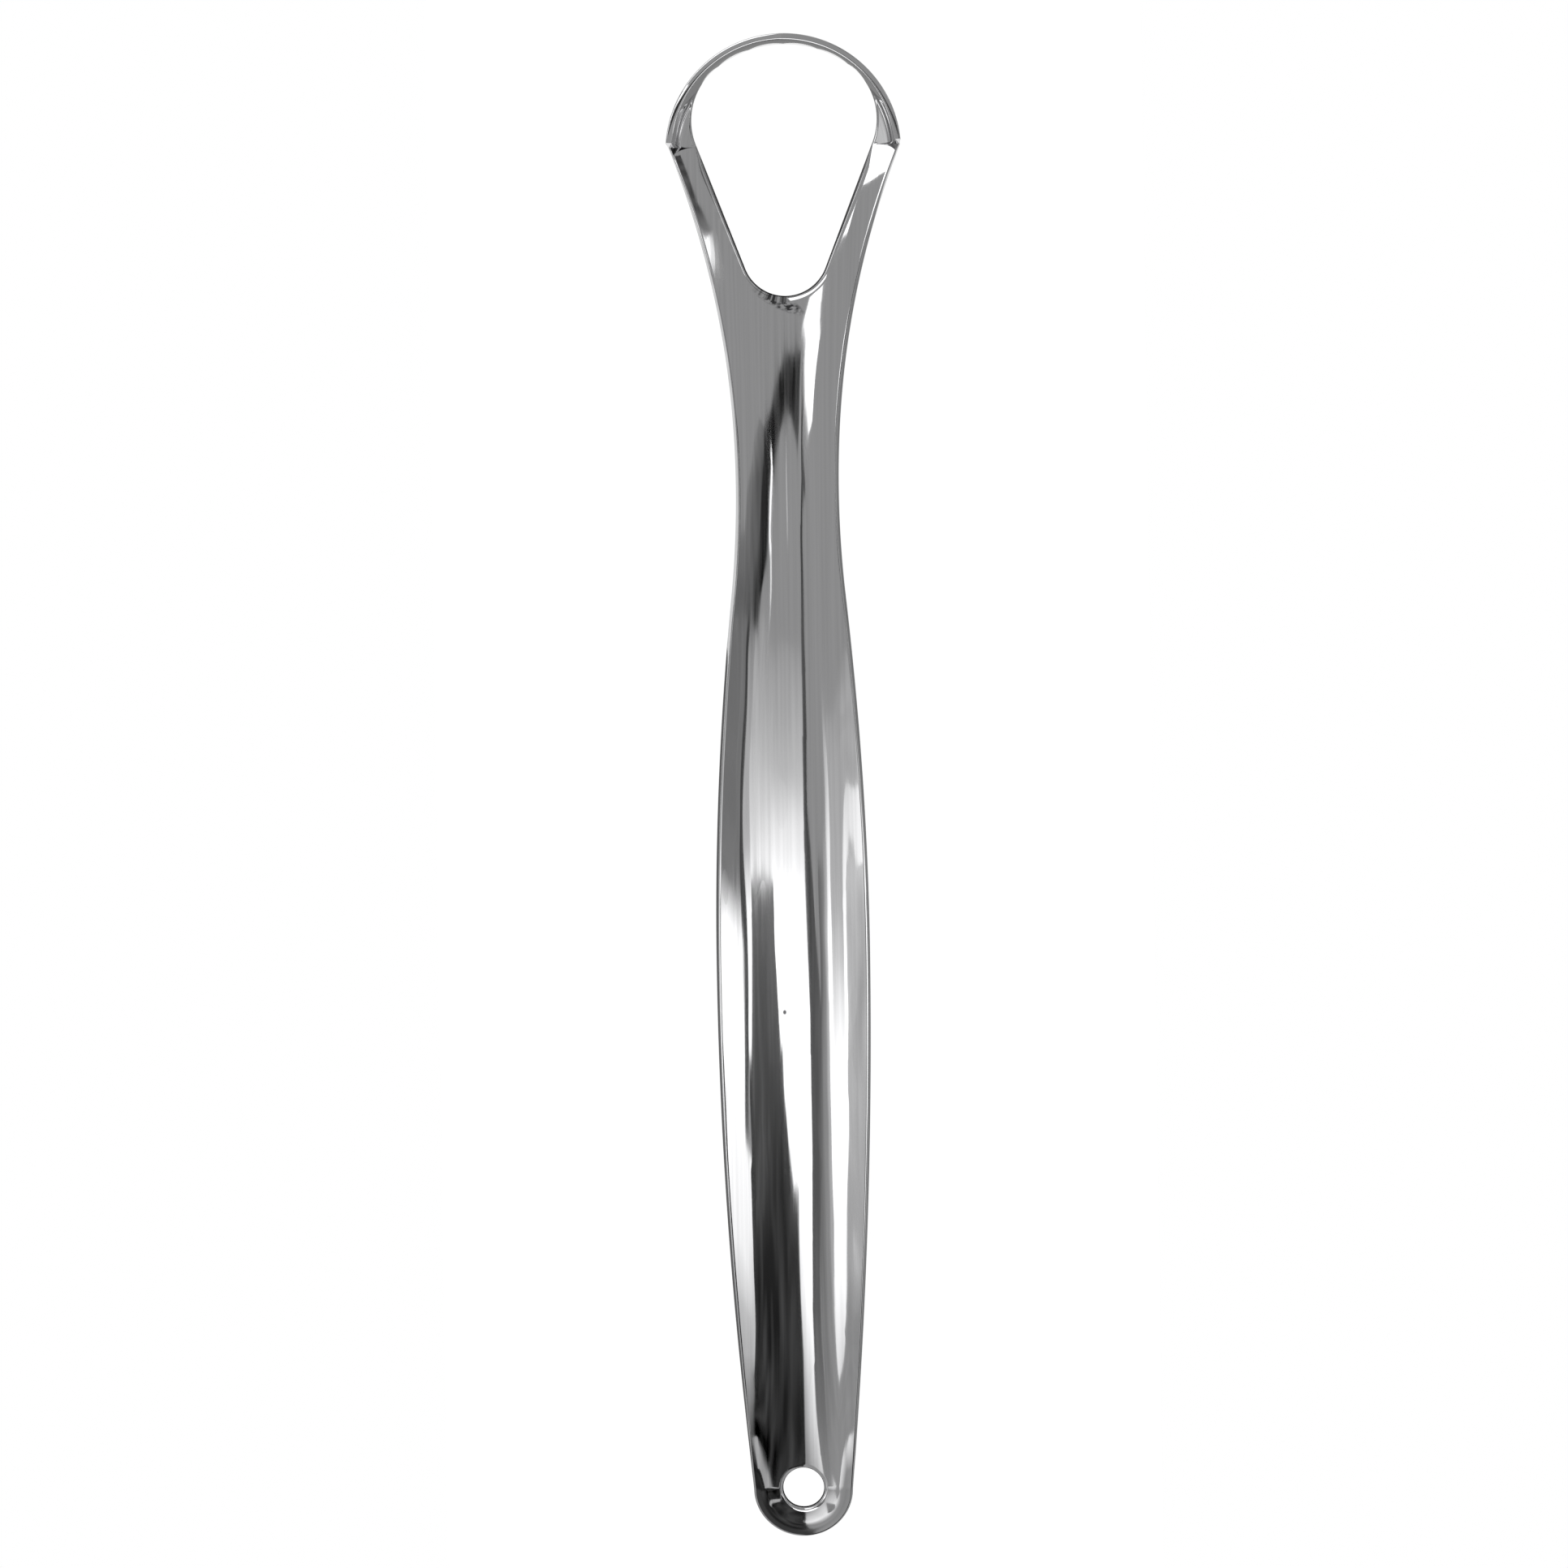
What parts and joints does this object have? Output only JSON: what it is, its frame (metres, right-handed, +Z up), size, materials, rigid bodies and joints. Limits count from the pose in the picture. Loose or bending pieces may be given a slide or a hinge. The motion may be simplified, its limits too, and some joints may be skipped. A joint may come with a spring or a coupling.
{
  "type": "tongue scraper",
  "caption": "Pressed stainless tongue scraper: dished handle with a hanging hole, slim neck and flat-lying open loop with an upright rim that scrapes the tongue.",
  "frame": {"origin": "middle of the outline seen from above, on the plane that the loop's floor and the drooped tip rest on", "axes": "+Y along the handle from the hanging hole to the loop, +Z up out of the hollow side, +X across"},
  "size_m": [0.023, 0.147, 0.0083],
  "materials": {
    "steel": "bright polished stainless sheet with faint lengthwise polish lines"
  },
  "bodies": {
    "root": {"pressed_scraper": "steel"}
  },
  "joints": []
}
